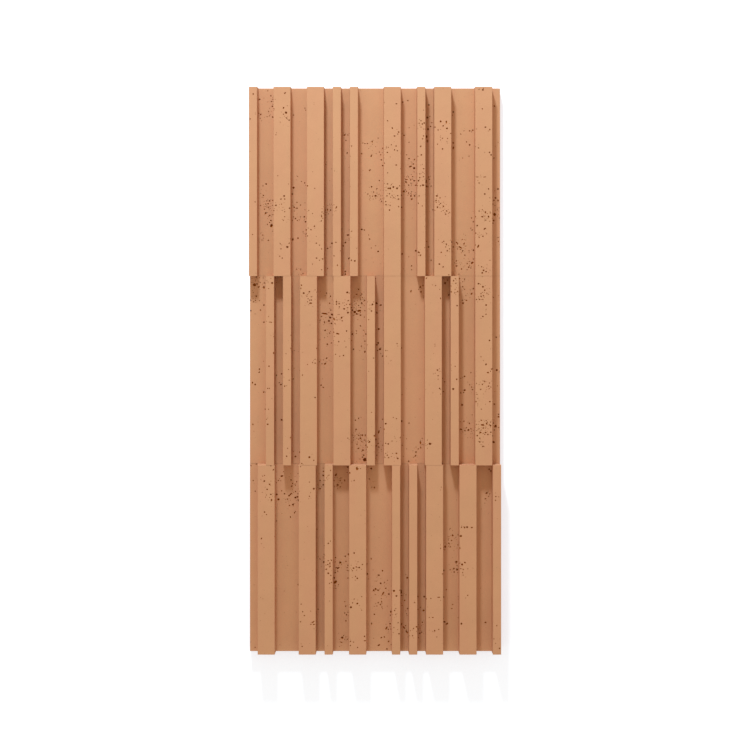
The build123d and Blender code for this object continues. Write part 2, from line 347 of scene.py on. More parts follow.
# The small pores, which look round: place, and how wide the mouth looks.
SMALL_PORES = [
    (30, 6.5, 1.6), (7, 11.5, 2.0), (35, 14.5, 2.0), (24, 18, 1.3), (17, 20, 2.2), (38, 20, 1.5),
    (36, 23.5, 1.8), (38.5, 27.5, 1.3), (61, 30, 1.2), (37.5, 31, 2.1), (89, 34, 1.7), (40, 35, 1.5),
    (90, 37, 1.5), (31.5, 39, 1.7), (15.5, 42, 2.0), (55, 43.5, 1.6), (19, 44, 2.2), (71, 45, 1.8),
    (33, 46, 1.4), (56.5, 46.5, 1.2), (29, 47.5, 1.4), (15, 48, 1.8), (60, 49.5, 1.9), (18, 50, 1.6),
    (2, 51, 1.9), (50, 56, 1.3), (44, 73, 1.2), (43, 76, 1.4), (159, 74, 1.2), (152, 76.5, 2.3),
    (157, 76.5, 1.7), (154, 85, 1.7), (181, 89, 1.3), (184, 90, 1.8), (188, 90, 1.7), (196, 91, 1.2),
    (160, 93.5, 1.2), (163, 94, 1.8), (190, 98, 1.2), (244, 24.5, 2.2), (285.5, 29, 2.2), (277, 37, 1.3),
    (287, 47, 1.6), (220, 54, 1.8), (278, 57.5, 2.2), (262, 61, 1.2), (273, 64, 1.6), (254, 65, 1.5),
    (277, 67, 1.4), (237.5, 72, 2.2), (236, 75, 1.7), (277, 78, 1.8), (205, 81.5, 1.5),
    (275.5, 82.5, 1.8), (254, 88, 1.6), (299, 91, 1.6), (226, 92, 1.5), (233.5, 94, 1.9), (201, 95, 1.2),
    (221, 96, 1.5), (218, 97, 1.3), (212, 98, 1.7), (372, 2.5, 1.5), (365, 4, 1.6), (389, 30.5, 2.2),
    (370, 35, 1.8), (323, 45, 1.6), (361, 67, 1.4), (300, 68.5, 1.8), (355, 69, 2.2), (341, 70, 1.5),
    (350, 70, 2.0), (379.5, 70, 1.2), (353, 71.5, 1.3), (320, 74, 1.6), (336, 75, 1.8), (307, 81.5, 1.8),
    (315, 82, 1.7), (304, 84.5, 1.3), (314, 87, 1.3), (345, 87.5, 1.8), (395, 88, 1.4), (359, 95, 1.5),
    (357, 97, 1.2), (364, 97, 1.9), (307, 98.5, 2.0), (46, 141, 1.4), (77, 142, 1.5), (83.5, 150, 1.5),
    (88.5, 152.5, 1.9), (27.5, 154, 2.2), (63, 154, 1.3), (90, 156, 1.3), (22.5, 157, 1.6),
    (93, 157, 1.9), (19, 169, 1.2), (21, 175, 1.3), (51, 178, 2.0), (57, 178, 1.9), (38, 180, 1.9),
    (28.5, 181, 1.7), (10, 182.5, 1.6), (76, 183, 1.7), (89, 184, 1.2), (30.5, 185.5, 2.0),
    (27, 186, 1.8), (52, 186, 1.5), (82, 187.5, 1.8), (18.5, 188, 1.8), (37.5, 188, 1.5), (70, 188, 1.4),
    (26, 190, 1.3), (31, 191, 2.0), (54, 191, 1.2), (64.5, 192.5, 2.1), (76.5, 192.5, 2.1),
    (34, 193, 1.2), (25, 194, 1.8), (89, 195, 1.3), (39.5, 196, 1.9), (53, 196, 1.2), (95, 196, 1.4),
    (72, 197, 1.6), (57, 198, 1.6), (156, 105, 2.2), (195, 108, 1.5), (161, 110, 1.2), (122, 123, 1.4),
    (181, 133, 1.2), (191, 133, 1.5), (194.5, 158.5, 2.1), (104.5, 161, 1.6), (192, 173, 1.6),
    (196, 173.5, 1.6), (191, 178, 1.4), (197, 178, 1.2), (128, 186, 1.2), (131, 186, 1.2),
    (135, 187, 1.2), (125, 188, 1.3), (133, 192, 1.3), (129.5, 195.5, 2.0), (138, 196.5, 1.2),
    (116, 198.5, 1.6), (124, 199, 1.4), (231, 100, 1.9), (235.5, 101.5, 1.6), (207, 103.5, 1.7),
    (219.5, 104, 1.8), (209, 108, 1.6), (250, 108, 1.4), (273.5, 108, 2.1), (267.5, 110, 1.5),
    (214, 113, 1.4), (254, 114, 2.1), (210, 116, 2.0), (215, 121, 1.5), (266, 121, 1.2),
    (261, 122.5, 1.9), (275, 123, 1.2), (266, 131, 1.2), (262, 135, 1.4), (276, 136, 1.2),
    (220, 136.5, 1.6), (271, 138, 1.6), (266, 141, 1.6), (259.5, 142.5, 1.5), (277, 142.5, 1.8),
    (250, 143, 1.2), (253, 143, 1.4), (285, 143, 1.8), (251, 147, 1.3), (286, 147, 1.8),
    (256.5, 147.5, 1.9), (207, 148.5, 1.8), (215, 153, 1.2), (257, 153, 1.5), (220, 154, 1.8),
    (226, 155, 1.3), (253.5, 156, 1.9), (258, 156, 1.2), (239, 157, 1.7), (272, 157, 1.8),
    (289, 157.5, 1.8), (203, 161.5, 1.9), (248, 163, 1.4), (213, 164, 1.2), (217, 164, 1.2),
    (250, 166, 1.6), (258, 166, 1.3), (264, 168, 1.3), (253, 168.5, 1.8), (223, 169.5, 1.7),
    (205, 171, 1.2), (227, 172, 1.5), (242, 172, 1.8), (252, 172, 1.2), (236, 172.5, 1.9),
    (209, 173, 1.3), (228.5, 174, 1.2), (225, 175, 1.5), (230, 176, 1.8), (209, 178, 1.6),
    (214, 178, 1.6), (237.5, 178, 2.1), (210.5, 181.5, 1.8), (217, 182, 1.8), (297, 183, 1.6),
    (268.5, 184.5, 1.8), (217.5, 187, 1.9), (224, 188, 1.7), (275, 189, 1.6), (237.5, 190, 1.9),
    (292, 195, 1.8), (223, 195.5, 2.0), (295, 196, 1.2), (381.5, 104, 2.0), (349, 110, 1.7),
    (339, 113, 1.5), (388.5, 113, 1.9), (368, 143, 1.2), (365, 152.5, 1.8), (380, 162, 2.0),
    (390, 165, 1.4), (382, 176, 1.3), (388.5, 180, 2.0), (301, 181, 1.3), (304, 185, 1.7),
    (302, 187, 1.2), (390, 188, 1.5), (308.5, 189.5, 2.0), (303, 192, 1.3), (397, 192, 1.3),
    (370, 195, 1.5), (394, 195, 1.3), (308, 196, 1.4), (313.5, 197, 2.0), (365, 197, 1.8),
    (372, 197, 1.2), (396, 197, 1.2), (382.5, 198.5, 1.5), (318, 199, 1.3), (38, 203, 1.3),
    (31, 206, 1.3), (57, 206, 1.5), (71, 206, 1.6), (82, 206, 1.3), (74, 209, 2.0), (80, 211, 1.5),
    (55, 211.5, 1.6), (35, 212, 2.2), (69, 212, 1.6), (77, 212, 1.5), (33, 215, 1.7), (29.5, 218, 1.6),
    (94, 224, 1.4), (38, 229, 1.5), (86, 230, 1.5), (19, 232, 1.2), (6, 234, 1.6), (22, 235, 1.9),
    (93, 236.5, 1.7), (90, 237, 1.2), (23, 240, 1.3), (66, 241, 1.5), (21, 243, 1.6), (31, 243.5, 1.9),
    (50, 249, 1.5), (51, 257, 1.8), (53, 271.5, 1.8), (75.5, 289, 1.6), (86, 296, 1.8), (83, 298, 1.3),
    (101, 201, 1.5), (118, 201, 1.2), (126, 201.5, 1.5), (122, 203, 1.5), (117, 209, 1.3),
    (115, 212.5, 1.8), (104, 221, 2.0), (122, 225, 1.3), (159, 227, 1.2), (183, 227, 1.9),
    (190, 235, 1.4), (107, 237, 1.2), (191.5, 241.5, 2.1), (154, 243, 1.2), (159, 243, 1.2),
    (107, 248, 1.9), (112, 251, 1.6), (129, 254, 1.4), (194, 255.5, 1.5), (125, 256, 2.1),
    (171, 256, 1.3), (115.5, 257, 1.7), (145, 260, 1.5), (135, 268, 1.8), (107.5, 271.5, 2.0),
    (117, 273, 1.9), (112, 275, 1.5), (162.5, 275, 1.9), (101, 281, 1.5), (125, 288, 1.8),
    (115.5, 290, 1.7), (282, 245, 1.6), (201, 252, 1.4), (285, 254, 2.2), (279, 255, 1.3),
    (243, 265, 2.2), (269, 267, 1.3), (272, 267, 2.2), (253.5, 269.5, 1.4), (289, 275, 1.8),
    (258, 284, 2.0), (258, 290, 1.5), (383, 200, 1.3), (316.5, 200.5, 1.3), (312, 202, 2.0),
    (374, 205, 1.4), (394, 205, 1.3), (353, 208, 1.8), (397, 208, 1.6), (375.5, 211.5, 1.8),
    (382, 213, 1.5), (387, 216, 1.8), (352, 224, 1.5), (354, 227, 2.0), (359.5, 232, 1.9),
    (377, 233, 1.4), (363, 234, 1.2), (371, 237, 1.9), (398, 238, 1.4), (365, 238.5, 1.8),
    (395, 239, 1.8), (338.5, 242, 1.5), (344, 243, 1.2), (309, 245, 1.8), (395.5, 245, 1.8),
    (306.5, 246.5, 1.6), (341, 249, 2.1), (313, 249.5, 2.0), (331, 250, 1.2), (397, 250, 1.2),
    (359, 251, 1.8), (343, 252.5, 1.5), (312, 254, 1.5), (324, 254, 2.0), (318, 257, 1.5),
    (331, 257, 1.8), (343, 257, 1.2), (336, 258, 1.4), (314.5, 260, 2.0), (339, 260, 2.0),
    (349, 260, 1.4), (305, 262.5, 1.9), (342.5, 267, 2.0), (356, 273, 1.8), (329, 276, 1.9),
    (350, 277, 1.3), (326, 279, 1.2), (346, 280, 1.8), (335.5, 282, 1.2), (350, 283, 1.2),
    (364, 283, 1.2), (331, 284, 1.2), (308, 285.5, 2.0), (369, 285.5, 1.7), (348.5, 286, 2.0),
    (352, 287, 1.6), (377, 287.5, 1.3), (337, 289, 1.9), (346, 290, 1.5), (376, 293, 2.0),
    (333, 297, 1.8), (317, 298, 1.8), (50, 301, 1.6), (12, 301.5, 2.2), (17, 302, 1.3), (23, 303, 1.3),
    (43, 303, 1.6), (5, 304, 1.2), (35, 304, 1.3), (11, 306.5, 1.4), (29, 307, 1.2), (5, 310, 1.3),
    (44, 310, 1.4), (18, 310.5, 1.6), (24.5, 311, 1.9), (27, 311, 1.4), (13, 312.5, 2.1),
    (83.5, 314.5, 2.0), (16, 317.5, 2.0), (9, 319, 1.3), (82.5, 319.5, 1.8), (31.5, 320, 1.5),
    (7, 326, 1.3), (41, 327, 1.8), (92, 332, 1.5), (5, 333, 1.2), (99, 333, 1.7), (94, 336, 1.5),
    (96.5, 338, 1.5), (99, 338, 1.9), (3, 338.5, 1.9), (10.5, 338.5, 1.8), (17, 339, 1.4),
    (7.5, 341, 2.0), (93, 341, 1.4), (18.5, 354, 2.0), (10, 360, 1.3), (31.5, 364, 1.3), (67, 394, 1.8),
    (40, 396, 1.8), (105, 322, 1.4), (108, 325.5, 1.9), (123, 327, 1.9), (159, 327, 1.5),
    (179, 328.5, 1.9), (121, 331, 1.2), (177, 331, 1.2), (129.5, 332, 2.1), (180, 334, 1.5),
    (177, 337, 1.4), (132, 338, 1.2), (183.5, 338.5, 2.1), (157.5, 339, 2.0), (168, 340, 1.5),
    (182, 340, 1.2), (143, 341, 1.4), (188, 341, 1.3), (198, 341, 1.5), (128, 343, 1.9), (170, 343, 1.6),
    (143.5, 344, 1.9), (139, 344.5, 2.0), (134, 345, 1.4), (155, 345, 1.4), (160, 345, 2.0),
    (162, 345, 1.8), (113, 346, 1.3), (192, 346, 1.2), (174, 346.5, 1.9), (183, 347, 1.2),
    (143.5, 349, 1.8), (157, 350, 1.4), (163, 350, 1.6), (167, 350, 1.4), (177, 350, 1.5),
    (192, 353, 1.2), (130, 354, 1.7), (184, 355, 1.6), (194.5, 355.5, 2.1), (126, 358, 1.3),
    (162, 358, 1.6), (177, 358, 1.4), (143, 361, 1.4), (166, 362, 1.5), (115, 364, 1.9), (139, 365, 1.2),
    (183, 365, 1.4), (122, 366, 1.2), (190, 369, 1.6), (140, 369.5, 1.5), (113, 370, 1.7),
    (148, 371, 1.8), (124, 373, 1.2), (136.5, 375, 1.6), (177, 379, 2.0), (182, 386, 1.6),
    (155, 387, 2.1), (170.5, 387, 1.7), (129.5, 388, 1.3), (128, 390.5, 1.8), (170.5, 391, 1.5),
    (185.5, 392, 2.2), (182, 395, 1.3), (136, 395.5, 1.3), (120, 397.5, 1.4), (201, 304, 1.8),
    (291, 314, 1.2), (296, 315, 1.6), (269, 321, 1.4), (308, 303, 1.8), (328, 304.5, 1.5),
    (342, 305, 1.9), (315, 306.5, 1.8), (324.5, 307.5, 2.0), (339, 309, 1.4), (335, 311, 1.2),
    (328, 311.5, 1.7), (367, 313, 1.3), (339, 317, 2.0), (302.5, 321, 1.4), (327, 321, 1.5),
    (342, 321, 1.7), (351, 322, 1.2), (374, 322.5, 2.0), (331, 324.5, 1.9), (321, 325, 1.9),
    (370, 326, 1.3), (326.5, 326.5, 1.7), (377, 327, 1.3), (368, 328, 1.7), (380, 329, 1.3),
    (344, 331, 1.4), (372, 331, 1.7), (396, 331, 1.2), (368, 332, 1.9), (364, 333, 1.2),
    (387.5, 334, 1.5), (361, 337, 1.7), (365.5, 337, 1.9), (371, 337, 1.7), (338.5, 338.5, 1.8),
    (376, 353, 1.3), (371, 364, 2.0), (368, 367, 1.2), (397, 395, 1.3), (67, 414.5, 2.0), (72, 418, 1.3),
    (59, 423, 1.4), (23.5, 435, 1.3), (93, 440, 1.5), (32, 443, 2.0), (72, 446, 1.3), (17, 447.5, 2.2),
    (63, 448, 1.4), (68, 448, 1.5), (81, 450, 1.3), (16.5, 452.5, 2.1), (52, 455, 2.1), (44, 457, 1.9),
    (85, 457, 1.7), (70.5, 463, 1.9), (64, 465, 1.7), (48, 469, 1.6), (60, 474, 1.2), (57, 474.5, 1.9),
    (30, 478, 1.6), (32.5, 478, 1.6), (23.5, 484, 2.2), (26, 484, 1.2), (113, 401, 1.3), (163, 402, 1.6),
    (134, 402.5, 1.8), (152, 403, 1.4), (184, 403, 2.0), (142.5, 404, 2.0), (131, 406, 1.8),
    (184, 408, 1.2), (188, 409, 1.3), (178.5, 411, 1.9), (154, 412.5, 1.7), (108, 414.5, 2.0),
    (166, 416, 2.2), (176, 418, 1.3), (137.5, 424, 1.6), (150, 426, 2.0), (144, 427, 1.5),
    (123.5, 430, 2.1), (198, 430, 1.7), (105, 432, 1.7), (114, 433, 1.2), (118, 433, 1.4),
    (112, 436, 1.4), (101, 437, 1.5), (116, 439, 1.6), (190, 451, 1.3), (117, 463, 1.2),
    (114.5, 473, 2.1), (118, 476.5, 2.0), (105, 492.5, 2.2), (235, 407, 1.6), (295, 408, 1.4),
    (236, 411, 1.2), (295, 411, 1.3), (204, 418, 1.8), (217, 418, 1.6), (219.5, 418, 1.2),
    (209, 423, 1.4), (218, 427, 1.3), (243, 488, 1.3), (271, 495, 1.2), (381.5, 402, 2.1),
    (368, 428, 1.5), (372, 434, 1.2), (321, 441, 1.2), (327, 443, 1.6), (302, 447, 1.2),
    (385, 447.5, 2.2), (304, 451, 1.2), (383, 451, 1.5), (397, 452, 1.6), (352, 453, 1.8),
    (300, 458, 1.8), (342, 459, 2.3), (307, 462, 1.6), (336, 462, 1.6), (300, 463.5, 1.4),
    (329.5, 463.5, 2.1), (371, 466, 1.2), (310.5, 467.5, 1.8), (374, 467.5, 1.8), (347, 468, 1.2),
    (381.5, 469.5, 1.7), (361, 470, 1.4), (370, 471.5, 1.8), (350, 472, 1.4), (365, 472, 1.2),
    (394, 474, 1.4), (380, 474.5, 2.0), (353, 476, 1.8), (377, 476, 1.2), (383.5, 476, 1.6),
    (357, 477, 1.4), (302.5, 478, 2.1), (381, 478.5, 1.4), (398, 479, 1.3), (367.5, 479.5, 2.0),
    (304, 480, 1.3), (354.5, 480, 1.8), (308.5, 483, 2.0), (390, 483, 1.3), (340.5, 484.5, 1.8),
    (304, 487, 1.3), (357, 487, 2.1), (361.5, 487.5, 1.7), (363, 494, 1.4), (360, 499, 2.0),
    (27, 504, 1.2), (26, 511, 1.7), (31.5, 511, 1.6), (30, 525, 1.2), (28, 527, 1.5), (6.5, 535, 2.1),
    (8, 546, 1.2), (61.5, 573, 1.5), (71, 578, 1.3), (60, 585.5, 2.0), (84, 597, 1.7), (12, 598, 1.8),
    (86, 599, 1.2), (194.5, 516, 1.4), (178, 524, 1.2), (174, 525.5, 2.0), (169, 528.5, 2.0),
    (170, 543, 2.2), (175, 549, 1.2), (171, 551, 1.2), (177.5, 551.5, 1.5), (164, 552, 1.6),
    (184.5, 552, 2.0), (174, 552.5, 1.9), (180, 552.5, 2.2), (166, 556, 1.4), (157, 557, 1.7),
    (171, 557, 1.2), (174, 558.5, 1.8), (159, 559, 1.2), (178, 559, 1.2), (166, 560, 1.4),
    (183.5, 560, 1.8), (190, 560, 1.2), (171.5, 566.5, 1.9), (185.5, 568, 2.0), (164, 571, 1.2),
    (188, 571, 1.7), (186, 575, 1.3), (179, 578, 1.4), (180, 587, 2.0), (176, 590, 1.4), (103, 592, 1.8),
    (229, 524, 1.5), (234, 526, 1.7), (212, 527, 1.8), (254, 533, 1.9), (209, 540, 1.4), (232, 557, 1.2),
    (275, 557, 1.3), (206, 558, 1.3), (250, 558, 1.3), (278, 558, 1.2), (283, 560, 1.4),
    (227, 561.5, 1.7), (205.5, 565, 1.6), (217, 565, 1.8), (283, 567, 1.2), (212, 568, 1.5),
    (243, 568, 1.8), (202, 569, 1.8), (265, 571, 1.4), (283, 573, 1.2), (250, 574, 1.4),
    (268.5, 574, 1.8), (210, 575, 1.3), (206, 580, 1.2), (217, 581, 1.4), (228, 581, 1.4),
    (203, 584, 1.8), (219.5, 584, 1.9), (226, 586, 1.3), (245, 586, 1.2), (215, 587, 1.4),
    (261, 587, 1.3), (222, 588, 1.5), (201, 589, 1.2), (253.5, 593.5, 2.2), (363, 503, 1.3),
    (375, 503, 1.2), (389, 503, 2.1), (368.5, 511, 1.6), (396, 519, 2.0), (354, 520, 1.5),
    (388.5, 528, 1.2), (376, 529, 1.7), (341, 530, 1.9), (335, 531, 1.4), (383, 531.5, 1.5),
    (378, 532, 1.3), (388, 533, 1.8), (349.5, 533.5, 2.1), (361, 535, 1.4), (364, 535, 1.2),
    (381, 535, 1.3), (383, 537, 2.3), (345, 540, 1.6), (396, 540, 1.8), (341, 541, 1.2), (371, 541, 1.4),
    (375, 541, 1.4), (352, 542, 1.8), (365, 542, 1.5), (379, 542, 1.2), (369, 544, 1.3), (389, 544, 1.8),
    (342.5, 545, 2.0), (357, 545, 1.5), (361, 545, 1.3), (353, 546, 1.4), (383.5, 547.5, 2.1),
    (372, 549, 1.2), (352, 550, 1.2), (374, 551, 1.5), (379, 551, 2.0), (357, 552, 1.8), (366, 557, 1.7),
    (371, 563, 1.5), (368, 567, 1.2), (3.5, 600.5, 1.8), (35, 601, 1.7), (82, 602, 1.6), (55, 610, 1.4),
    (78, 613, 1.5), (25, 616, 1.5), (22, 617, 1.5), (64, 618, 1.2), (7, 624, 1.8), (47, 624, 1.9),
    (50.5, 624.5, 1.5), (24.5, 625, 2.4), (35, 625, 1.2), (96, 626.5, 1.7), (44, 627.5, 1.4),
    (69.5, 628.5, 1.9), (33, 630, 2.1), (74, 631.5, 1.6), (29, 638, 2.0), (52, 640.5, 1.9),
    (10, 641, 1.8), (74, 641.5, 1.8), (98, 643, 1.2), (56.5, 645, 2.1), (78, 645, 1.6), (28, 647, 1.4),
    (96, 649, 1.8), (41, 650, 1.4), (26.5, 650.5, 1.3), (33, 651, 1.2), (95, 653, 1.2),
    (61.5, 653.5, 2.0), (58, 654, 1.2), (66, 655, 1.2), (64.5, 663.5, 2.0), (74, 673, 1.3),
    (28, 678, 1.6), (66, 682, 2.1), (44, 688, 1.8), (42, 691, 1.2), (157, 602.5, 2.4), (118, 604.5, 1.5),
    (177, 605, 1.4), (129.5, 608, 1.8), (156, 611, 1.5), (160, 612, 2.3), (127, 615.5, 1.6),
    (125, 617, 1.3), (140, 619, 1.2), (123, 620, 1.3), (146, 620, 1.7), (191, 621.5, 1.8),
    (152, 623.5, 1.9), (113, 624, 2.0), (119, 624, 1.6), (135, 624, 1.8), (145, 624, 2.0),
    (167, 624, 1.9), (163, 625, 1.2), (197, 626, 1.2), (147.5, 628, 1.5), (136, 633, 1.4),
    (115, 634, 1.2), (145, 634, 1.9), (195, 634.5, 1.6), (199, 635, 2.2), (305, 634.5, 1.3),
    (304, 639, 1.2), (385, 642, 1.2), (382, 645, 1.5), (380, 649, 1.8), (391.5, 649.5, 1.9),
    (385, 650, 1.5), (396, 650, 1.4), (391, 655.5, 1.8), (374, 660, 1.3), (337, 698, 1.8), (20, 724, 1.2),
    (24, 730, 1.2), (108, 701, 1.6), (129.5, 720, 1.5), (126, 723.5, 2.1), (120, 727, 1.5),
    (110, 745, 1.2), (118, 745, 1.3), (137.5, 746, 2.0), (119, 748, 1.4), (113, 749, 1.5),
    (131, 750.5, 1.9), (134, 751, 1.6), (154, 752, 1.8), (137, 753, 1.6), (173, 753, 1.3),
    (128.5, 755, 2.0), (125, 757, 1.8), (147, 757, 1.3), (180, 757, 1.8), (122, 758, 1.3),
    (157, 758.5, 1.7), (120, 760, 1.2), (129, 760, 2.0), (170.5, 761, 1.8), (139, 762, 1.8),
    (143, 762, 1.6), (156, 762, 1.7), (123, 764.5, 2.0), (121, 765, 1.2), (136, 766, 1.2),
    (171, 766, 1.4), (197, 766, 1.2), (107, 767, 1.8), (158, 767, 1.3), (164, 767, 1.6),
    (141, 767.5, 1.8), (134, 774, 1.6), (130, 774.5, 1.9), (169, 776, 1.7), (157, 778.5, 1.8),
    (190, 780, 1.4), (169, 782, 1.3), (131, 785.5, 1.6), (128, 787, 1.6), (142, 789, 1.5),
    (137, 791, 1.4), (134, 792, 2.0), (138, 795, 1.5), (212, 767, 2.2), (249, 773, 1.3), (204, 774, 1.2),
    (220, 782, 1.5), (203, 783, 1.2), (215, 785.5, 1.7), (226, 791, 1.2), (208, 795, 1.2),
    (217, 795, 2.0), (239, 798, 1.5), (319, 700, 1.5), (318, 702, 1.3), (316, 713, 1.2), (328, 714, 1.2),
    (316, 718, 1.2), (321.5, 719, 1.7), (311, 723, 1.2), (317, 723.5, 2.1), (317, 728, 1.3),
    (319, 729.5, 1.8), (330, 731, 1.2), (304, 731.5, 1.6), (310.5, 734, 1.6), (334, 755, 1.8),
    (330, 758.5, 1.6), (325, 763.5, 2.2), (335.5, 763.5, 1.7), (347, 764, 1.4), (340, 765, 1.8),
    (319, 765.5, 1.8), (309, 766.5, 2.2), (321, 769, 1.2), (331, 770, 1.4), (339, 770, 1.6),
    (307, 772, 1.8), (340, 774, 1.3), (313, 797, 1.7), (83, 820, 1.6), (98, 831, 1.4), (85.5, 832, 1.9),
    (88, 838, 1.8), (82, 848, 1.8), (98, 852, 1.5), (3, 880, 1.3), (83, 883, 1.2), (84.5, 887, 1.8),
    (10, 888.5, 1.6), (120, 805, 1.3), (179, 808, 1.6), (167, 812, 1.7), (128, 815, 1.2), (152, 816, 1.6),
    (164.5, 818, 1.6), (175, 822, 1.2), (153.5, 823, 1.9), (110, 828, 1.8), (179, 829.5, 1.4),
    (157, 833, 1.4), (152, 834, 1.9), (155, 837, 1.9), (154, 846.5, 2.0), (150, 870, 1.6),
    (183.5, 871, 2.1), (153.5, 872, 1.5), (198, 874, 1.2), (152, 875.5, 1.4), (156.5, 875.5, 1.6),
    (161, 879, 1.8), (145, 880, 1.4), (166, 880, 1.7), (147, 880.5, 1.8), (161, 885.5, 1.8),
    (144, 887, 1.3), (172.5, 888.5, 1.9), (200, 805, 1.3), (201, 805, 1.2), (249, 805, 1.4),
    (242, 806, 1.8), (268, 808, 1.9), (210, 811, 1.4), (288.5, 811, 1.7), (281, 811.5, 1.9),
    (247, 814, 2.1), (205, 817.5, 1.9), (263, 817.5, 1.8), (243, 822, 1.6), (203, 823, 1.6),
    (211, 824.5, 1.6), (272, 825, 1.8), (212, 827, 1.3), (233, 827, 1.4), (251.5, 827, 2.3),
    (268, 828, 1.6), (231, 830, 1.9), (250, 835, 1.4), (228, 836, 1.2), (233, 836, 1.6),
    (224.5, 837.5, 1.7), (251, 838, 1.3), (286, 841, 1.4), (275, 848.5, 2.0), (236.5, 849.5, 1.8),
    (242, 851.5, 2.0), (269, 852, 1.2), (248.5, 854, 1.8), (230, 857, 1.6), (271, 858, 1.5),
    (261, 858.5, 1.8), (268, 859, 1.6), (221, 860, 1.9), (225, 860, 1.2), (236, 860, 1.2),
    (256, 862, 1.4), (294.5, 862, 2.1), (266, 863, 1.3), (291, 863, 1.2), (274, 864.5, 1.8),
    (229, 865, 1.3), (255, 870, 1.2), (259.5, 870, 1.9), (252, 872, 1.3), (298, 872, 1.4),
    (269, 873, 1.4), (221.5, 879, 2.3), (226, 884, 1.8), (347, 806, 1.8), (332, 808, 1.5),
    (309, 808.5, 1.9), (332, 812, 1.2), (304, 814, 1.2), (323, 820.5, 1.8), (332, 841.5, 1.8),
    (308, 843, 1.4), (393, 854, 1.8), (301, 860, 1.6), (388.5, 875, 1.7), (391, 882, 1.3),
    (397.5, 890, 2.1),
]

# where the photograph was taken from, and how much wider a mouth is than the dark seen in it
EYE = Vector((0.0, 0.1647, high.z + 2.15))
MOUTH = 1.21
chance = random.Random(41)


def seen_at(from_left, from_top):
    """The spot of the cast face seen at a place in the plane of the fronts, and its direction."""
    aim = Vector((low.x + from_left * mm, high.y - from_top * mm, high.z)) - EYE
    return bare_panel.ray_cast(EYE, aim.normalized())[:2]


def straight_below(x, y):
    """The spot of the cast face under a place, and its direction."""
    return bare_panel.ray_cast(Vector((x, y, high.z + 0.1)), Vector((0, 0, -1)))[:2]


# each pore: its place and direction, its width and height in mm, and its lean in degrees
pores = []
for from_left, from_top, wide, tall, lean in LARGE_PORES:
    place, outward = seen_at(from_left, from_top)
    if place:
        pores.append((place, outward, wide * MOUTH, tall * MOUTH, lean))

for from_left, from_top, wide in SMALL_PORES:
    place, outward = seen_at(from_left, from_top)
    if place:
        mouth, longer = wide * MOUTH, chance.uniform(0.85, 1.18)
        pores.append((place, outward, mouth * longer, mouth / longer, chance.uniform(-60, 60)))

# Specks too fine to be read one by one, sized in mm: thickest where the other pores are, and a
# few anywhere.
CROWD_REACH = 12 * mm
CROWD_FOR_A_SPECK, MOST_SPECKS = 4, 2
SPECK_AWAY = (2, 9)
SPECK_SIZE = (0.9, 1.5)
FINE_PORES, FINE_SIZE = 200, (0.8, 1.4)

placed = [pore[0] for pore in pores]
for near in placed:
    crowd = sum((near - other).length < CROWD_REACH for other in placed)
    for speck in range(min(MOST_SPECKS, crowd // CROWD_FOR_A_SPECK)):
        angle = chance.uniform(0, 2 * math.pi)
        away = chance.uniform(*SPECK_AWAY) * mm
        place, outward = straight_below(near.x + away * math.cos(angle),
                                        near.y + away * math.sin(angle))
        if place:
            wide, tall = chance.uniform(*SPECK_SIZE), chance.uniform(*SPECK_SIZE)
            pores.append((place, outward, wide, tall, 0.0))
for speck in range(FINE_PORES):
    place, outward = straight_below(chance.uniform(low.x, high.x), chance.uniform(low.y, high.y))
    wide, tall = chance.uniform(*FINE_SIZE), chance.uniform(*FINE_SIZE)
    pores.append((place, outward, wide, tall, 0.0))

# Pores in the panel's four sides, which the mould's frame formed, and in the ribs' walls. Every
# second one is looked for from a metre outside, and the others from between the ribs.
SIDE_PORES, SIDE_SIZE = 150, (1.0, 2.6)
SIDEWAYS = [Vector((1, 0, 0)), Vector((-1, 0, 0)), Vector((0, 1, 0)), Vector((0, -1, 0))]
found = 0
while found < SIDE_PORES:
    towards = chance.choice(SIDEWAYS)
    start = Vector((chance.uniform(low.x, high.x), chance.uniform(low.y, high.y),
                    chance.uniform(3, 33) * mm))
    place, outward = bare_panel.ray_cast(start - towards if found % 2 else start, towards)[:2]
    if place and abs(outward.z) < 0.2 and outward.dot(towards) < -0.8:
        wide = chance.uniform(*SIDE_SIZE)
        pores.append((place, outward, wide, wide * chance.uniform(0.7, 1.3), 0.0))
        found += 1

# The hollows: a pore is a bubble's rough hollow, a little wider inside than its mouth, cut out of
# the slab. Those that touch are cut one after the other, so that they open into each other.
# mouths from these widths in mm get the large or the small bubble, and the others the tiny one
LARGE_FROM, SMALL_FROM = 2.5, 1.7

# how deep a hollow is for its width, how far its middle is sunk, and how much room it keeps
DEPTH_SHARE, SUNK_SHARE, ROOM_SHARE = 0.52, 0.30, 0.75

# how deep and how fine a hollow's dents are, and how far on the next hollow's dents are read
DENTS = ((0.30, 1.5), (0.16, 3.7))
DENTS_APART = (7.31, 3.17, 1.93)


def bubble(sides, profile):
    """A closed bubble of unit size: rings of corners from a profile of radius and height."""
    corners = [Vector((0, 0, 1.0))]
    for radius, height in profile:
        for side in range(sides):
            angle = 2 * math.pi * side / sides
            corners.append(Vector((radius * math.cos(angle), radius * math.sin(angle), height)))
    corners.append(Vector((0, 0, -1.0)))
    faces = []
    for side in range(sides):
        here, beside = 1 + side, 1 + (side + 1) % sides
        faces.append([0, here, beside])
        for ring in range(len(profile) - 1):
            faces.append([here, here + sides, beside + sides, beside])
            here, beside = here + sides, beside + sides
        faces.append([here, len(corners) - 1, beside])
    return corners, faces


# from the mouth down: how wide each ring is, and how high it sits
tiny_bubble = bubble(6, [(0.84, 0.75), (1.0, -0.15)])
small_bubble = bubble(8, [(0.84, 0.75), (1.03, 0.05), (0.74, -0.65)])
large_bubble = bubble(12, [(0.82, 0.75), (1.03, 0.15), (0.93, -0.4), (0.55, -0.82)])


